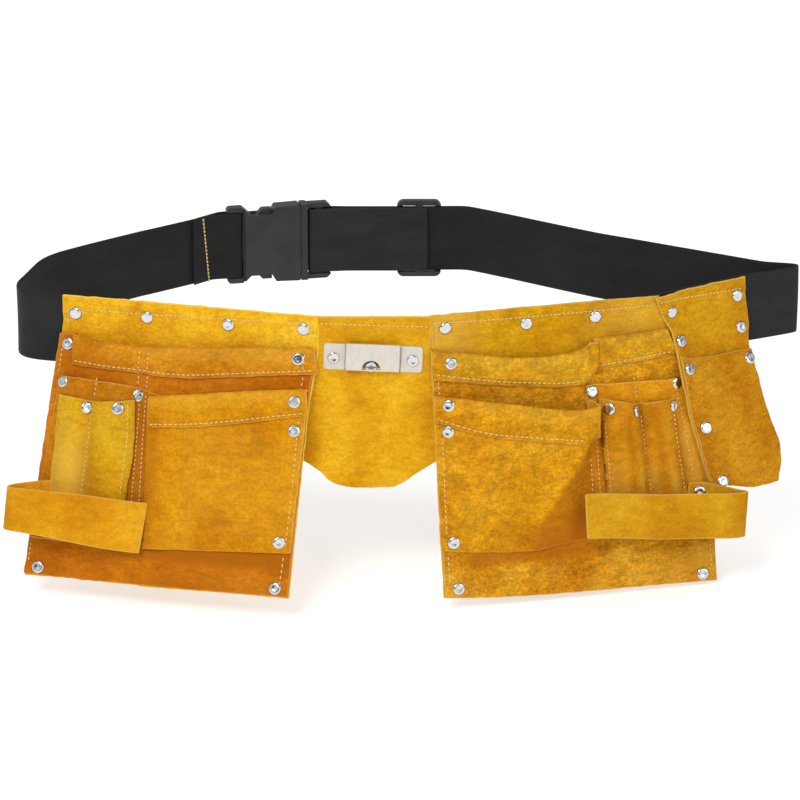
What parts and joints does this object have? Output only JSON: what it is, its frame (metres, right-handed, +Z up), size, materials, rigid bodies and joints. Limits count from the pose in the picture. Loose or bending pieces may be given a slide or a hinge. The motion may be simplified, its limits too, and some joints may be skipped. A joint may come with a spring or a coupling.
{
  "type": "tool belt",
  "caption": "Suede tool apron on a webbing waist belt, with two flaring pouches of nested pockets, tool slots, a holster, hammer loops, a tape clip, a side-release buckle and a strap adjuster",
  "frame": {"origin": "centre of the waist loop, at half the height of the webbing", "axes": "+X to the viewer's right across the front, -Y out of the front, +Z up; the waist's axis is vertical"},
  "size_m": [0.5724, 0.3262, 0.2086],
  "materials": {
    "suede": "brushed split suede",
    "webbing": "matte woven webbing",
    "buckle_plastic": "moulded, fine texture",
    "rivet_nickel": "bright nickel plate",
    "clip_steel": "plated spring steel"
  },
  "bodies": {
    "belt": {"webbing_main": "webbing", "webbing_tail": "webbing", "left_top_strip": "suede", "right_top_strip": "suede", "holster_top_strip": "suede", "centre_panel": "suede", "tape_clip": "clip_steel", "tape_clip_rivets": "rivet_nickel", "top_row_rivets": "rivet_nickel", "buckle_plug": "buckle_plastic"},
    "left_arm": {"webbing_left": "webbing", "buckle_socket": "buckle_plastic"},
    "prong_upper_body": {"prong_upper": "buckle_plastic"},
    "prong_lower_body": {"prong_lower": "buckle_plastic"},
    "adjuster": {"tri_glide": "buckle_plastic"},
    "left_pouch": {"left_back_panel": "suede", "left_rear_pocket": "suede", "left_main_pocket": "suede", "left_tool_slots": "suede", "left_hammer_loop": "suede", "left_pouch_rivets": "rivet_nickel"},
    "right_pouch": {"right_back_panel": "suede", "right_rear_pocket": "suede", "right_main_pocket": "suede", "right_tool_slots_rear": "suede", "right_tool_slots_front": "suede", "right_hammer_loop": "suede", "right_pouch_rivets": "rivet_nickel", "holster_back": "suede", "holster_pocket": "suede", "holster_rivets": "rivet_nickel"}
  },
  "joints": [
    {"name": "buckle_release", "type": "slide", "parent": "belt", "child": "left_arm", "axis": [-0.9781, -0.2079, 0], "range_m": [0, 0.045], "deforming": ["prong_upper", "prong_lower"]},
    {"name": "prong_upper_squeeze", "type": "hinge", "parent": "belt", "child": "prong_upper_body", "pos_m": [-0.08345, 0.13348, 0.0165], "axis": [0.2079, -0.9781, 0], "range_deg": [0, 10], "stiffness_Nm_per_rad": 0.6},
    {"name": "prong_lower_squeeze", "type": "hinge", "parent": "belt", "child": "prong_lower_body", "pos_m": [-0.08345, 0.13348, -0.0165], "axis": [-0.2079, 0.9781, 0], "range_deg": [0, 10], "stiffness_Nm_per_rad": 0.6},
    {"name": "adjuster_slide", "type": "slide", "parent": "belt", "child": "adjuster", "axis": [1, 0, 0], "range_m": [-0.038, 0.012], "deforming": ["webbing_tail"]},
    {"name": "left_pouch_fold", "type": "hinge", "parent": "belt", "child": "left_pouch", "pos_m": [-0.2429, -0.0696, 0.002], "axis": [-0.9659, 0.2588, 0], "range_deg": [-8, 55]},
    {"name": "right_pouch_fold", "type": "hinge", "parent": "belt", "child": "right_pouch", "pos_m": [0.0151, -0.1168, 0.002], "axis": [-0.9627, -0.2706, 0], "range_deg": [0, 45]}
  ]
}
